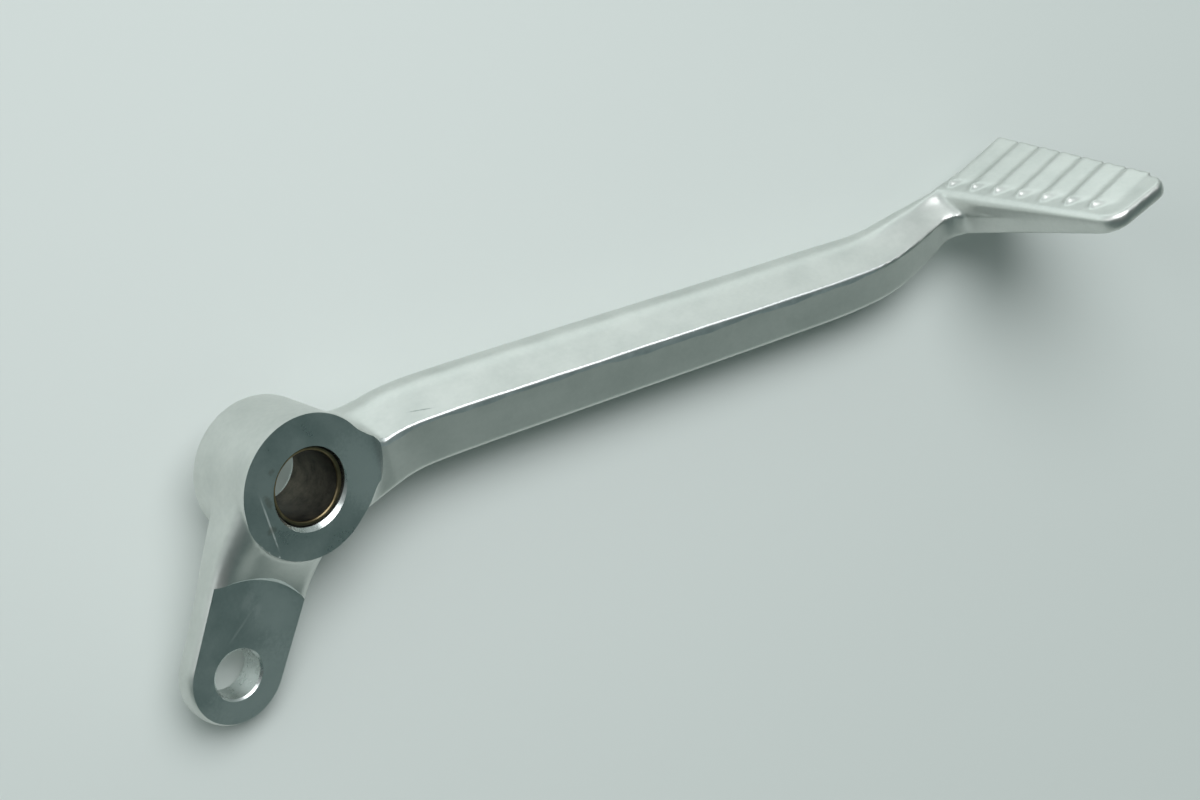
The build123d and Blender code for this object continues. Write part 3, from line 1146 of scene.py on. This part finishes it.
@dataclass
class PivotBush:
    """Plain bush pressed into the boss. Sizes in millimetres."""

    outer_radius: float = 6.99
    bore_radius: float = 6.0
    outboard_end: float = -7.75
    inboard_end: float = 6.25
    outer_chamfer: float = 0.36
    inner_chamfer: float = 0.25
    lip_round: float = 0.48
    round_points: int = 7
    segments: int = 160
    sharp_angle: float = 25.0

    def build(self) -> Object:
        """Ring turned about the pivot axis, with a round lip outboard.

        Its bore, the side that starts at the fifth corner, and the groove round the lip, its last side, have
        the dark slot. On the bore its tint is partly the lining's own grey and partly painted shade of the
        deep bore;
        on the groove it is painted shade of the gap between the bush and the boss.

        Returns:
            The bush.
        """
        out, inn, near, far = self.outer_radius, self.bore_radius, self.outboard_end, self.inboard_end
        a, b, lip = self.outer_chamfer, self.inner_chamfer, self.lip_round
        by_sine, by_cosine = quarter_turn(self.round_points)
        inside = np.stack([inn + lip * by_cosine, near + lip * by_sine], 1)
        corners = np.vstack([[[out, near + a], [out, far - a], [out - a, far], [inn + b, far], [inn, far - b]],
                             inside, [[out - a, near]]])
        bush = grid_mesh("pivot_bush_ring", revolve(corners, self.segments), capped=False)
        mesh = bush.data
        # The dark slot on the groove round the lip paints the shade of the gap between the bush and the boss
        dark = np.isin(np.arange(len(corners)), (4, len(corners) - 1))
        mesh.polygons.foreach_set("material_index", np.repeat(dark, self.segments).astype(np.int32))
        finish_shading(mesh, self.sharp_angle)
        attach(bush, "root")
        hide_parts("pivot_bush")
        return bush

    def dress(self, bush: Object) -> None:
        """Puts the bronze on the rim, and the dark tint, partly the lining's own and partly painted shade,
        into the bore and the groove round the lip.
        """
        # Bronze rubbed by the pin: tarnish in patches, so a thin brown ring glints in the boss
        rim = MetalFinish("bush_bronze", "8f8062", "5d5440", 0.24, 0.36, 0.8, 4.0, 0.006)
        # Bore lining: its own dark grey with painted shade of the deep bore, and painted shade on the groove
        # round the lip;
        # small dark patches and a dull finish
        lining_and_groove_shade = MetalFinish("bush_lining_and_groove_shade", "625d53", "2f2d29", 0.40, 0.55, 0.5, 2.2, 0.008)
        paint(bush.data, rim.material(), lining_and_groove_shade.material())


# Studio


@dataclass(frozen=True)
class Lamp:
    """Round soft lamp: shares of up, behind and right in its direction, diameter in metres, and watts."""

    name: str
    shares: Triple
    size: float
    energy: float


@dataclass
class Studio:
    """Table, light and camera. Directions are in the frame of the pedal, and lengths in metres."""

    table_up: Triple = (-0.14, -0.824, 0.55)
    table_radius: float = 0.9
    table_hub: float = 0.001
    table_rings: int = 40
    table_points: int = 96
    table_tint: str = "d6ddd9"
    table_rough: float = 0.45
    camera_at: Triple = (-0.102778, -0.262227, 0.157727)
    camera_right: Triple = (0.671727, -0.663939, -0.328585)
    camera_down: Triple = (-0.581746, -0.198159, -0.788863)
    camera_away: Triple = (0.458645, 0.721054, -0.519352)
    lens: float = 57.0
    film_width: float = 36.0
    clip_start: float = 0.01
    far_left: Pair = (0.8, -0.6)
    wall: tuple[tuple[float, str], ...] = ((0.0, "566968"), (0.28, "5a6d6c"), (0.46, "748483"),
                                           (0.64, "b4c0be"), (0.82, "e4eeec"), (1.0, "d4dfde"))
    ceiling: str = "69706f"
    ceiling_rise: Pair = (0.42, 0.80)
    skirting: str = "8b9a93"
    skirting_rise: Pair = (0.20, 0.05)
    strip_across: Pair = (0.38, 0.84)
    strip_level: float = 1.7
    room_level: float = 0.85
    lamps: tuple[Lamp, ...] = (Lamp("soft_box", (0.92, 0.37, -0.06), 0.86, 6.2),
                               Lamp("side_box", (0.67, -0.06, -0.74), 0.45, 0.75))
    lamp_distance: float = 0.9
    lamp_tint: str = "fbfdff"

    def shoot(self) -> None:
        """Sets the camera to the fitted place, direction and lens."""
        data = bpy.data.cameras.new("camera")
        data.sensor_width = self.film_width
        data.lens = self.lens
        data.clip_start = self.clip_start
        camera = link_new("camera", data)
        axes = Matrix((self.camera_right, -Vector(self.camera_down), -Vector(self.camera_away))).transposed()
        camera.matrix_world = Matrix.Translation(self.camera_at) @ axes.to_4x4()
        bpy.context.scene.camera = camera

    def table(self, place: ndarray, centre: Vector) -> None:
        """Round pale table that touches the pedal's lowest point, and is clear when seen from below.

        Its points are foot + r (cos a across + sin a along), on rings of even steps of r.

        Args:
            place: points of the pedal.
            centre: the pedal's centre.
        """
        up = unit(np.array(self.table_up))
        foot = np.array(centre) + up * (float((place @ up).min()) - float(np.dot(up, centre)))
        across = unit(np.cross(up, [0.0, 1.0, 0.0]))
        along = np.cross(up, across)
        radius = np.linspace(self.table_hub, self.table_radius, self.table_rings)[:, None, None]
        angle = np.linspace(0, 2 * np.pi, self.table_points, endpoint=False)[None, :, None]
        points = foot + radius * (np.cos(angle) * across + np.sin(angle) * along)
        index = np.arange(self.table_rings * self.table_points).reshape(points.shape[:2])
        mesh = bpy.data.meshes.new("table")
        mesh.from_pydata(points.reshape(-1, 3).tolist(), [], ring_quads(index).tolist() + [index[0].tolist()])
        mesh.update()
        if np.dot(np.array(mesh.polygons[0].normal), up) < 0:
            mesh.flip_normals()
        table = link_new("table", mesh)
        made = bpy.data.materials.new("pale_table")
        tree = fresh_tree(made)
        shader = add_node(tree, "ShaderNodeBsdfPrincipled",
                          {"Base Color": linear(self.table_tint), "Roughness": self.table_rough})
        clear = add_node(tree, "ShaderNodeBsdfTransparent")
        side = add_node(tree, "ShaderNodeNewGeometry")
        either = add_node(tree, "ShaderNodeMixShader", {}, {
            0: side.outputs["Backfacing"], 1: shader.outputs["BSDF"], 2: clear.outputs["BSDF"]})
        add_node(tree, "ShaderNodeOutputMaterial", {}, {"Surface": either.outputs["Shader"]})
        mesh.materials.append(made)

    def directions(self) -> tuple[Vector, Vector, Vector]:
        """Up from the table, and along it to the picture's far side and to its right."""
        up = Vector(self.table_up).normalized()
        right = Vector(self.camera_right)
        right = (right - up * right.dot(up)).normalized()
        return up, up.cross(right), right

    def light(self, centre: Vector) -> None:
        """Pale room that is dim to the right and in front, with a bright strip low down behind, and two lamps.

        The wall's tint follows the ray's share of the direction to the far left. A smooth step of the ray's
        rise turns it into the ceiling, and another one adds the strip.

        Args:
            centre: the pedal's centre.
        """
        scene = bpy.context.scene
        up, behind, right = self.directions()
        scene.world = bpy.data.worlds.new("room")
        tree = fresh_tree(scene.world)
        ray = add_node(tree, "ShaderNodeTexCoord").outputs["Generated"]
        far_left = behind * self.far_left[0] + right * self.far_left[1]
        across, rise = (add_node(tree, "ShaderNodeVectorMath", {"operation": "DOT_PRODUCT", 1: way},
                                 {0: ray}).outputs["Value"] for way in (far_left, up))
        wall = colour_ramp(tree, ramp(tree, across, (-1.0, 1.0), kind="LINEAR"), self.wall)
        room = mix(tree, "RGBA", ramp(tree, rise, self.ceiling_rise), wall, linear(self.ceiling))
        low = ramp(tree, rise, self.skirting_rise)
        strip = reckon(tree, "MULTIPLY", low, ramp(tree, across, self.strip_across))
        level = reckon(tree, "MULTIPLY_ADD", strip, self.strip_level, self.room_level)
        skirting = mix(tree, "RGBA", reckon(tree, "SUBTRACT", low, strip), room, linear(self.skirting))
        back = add_node(tree, "ShaderNodeBackground", {}, {"Color": skirting, "Strength": level})
        add_node(tree, "ShaderNodeOutputWorld", {}, {"Surface": back.outputs["Background"]})
        for lamp in self.lamps:
            data = bpy.data.lights.new(lamp.name, "AREA")
            data.shape = "DISK"
            data.size = lamp.size
            data.energy = lamp.energy
            data.color = linear(self.lamp_tint)[:3]
            spot = up * lamp.shares[0] + behind * lamp.shares[1] + right * lamp.shares[2]
            spot = spot * self.lamp_distance
            turn = spot.to_track_quat("Z", "Y").to_matrix().to_4x4()
            link_new(lamp.name, data).matrix_world = Matrix.Translation(centre + spot) @ turn
        scene.view_settings.view_transform = "Standard"


def main() -> None:
    """Builds the lever, the bush and the studio in order."""
    logging.basicConfig(level=logging.INFO, format="%(name)s: %(message)s")
    forging, ring, studio = LeverForging(), PivotBush(), Studio()
    lever = forging.build()
    forging.dress(lever)
    LOG.info("lever: %d vertices", len(lever.data.vertices))
    bush = ring.build()
    ring.dress(bush)
    LOG.info("bush: %d vertices", len(bush.data.vertices))
    place = positions(lever.data)
    centre = Vector((place.min(0) + place.max(0)) / 2)
    studio.table(place, centre)
    studio.light(centre)
    studio.shoot()


if __name__ == "__main__":
    main()
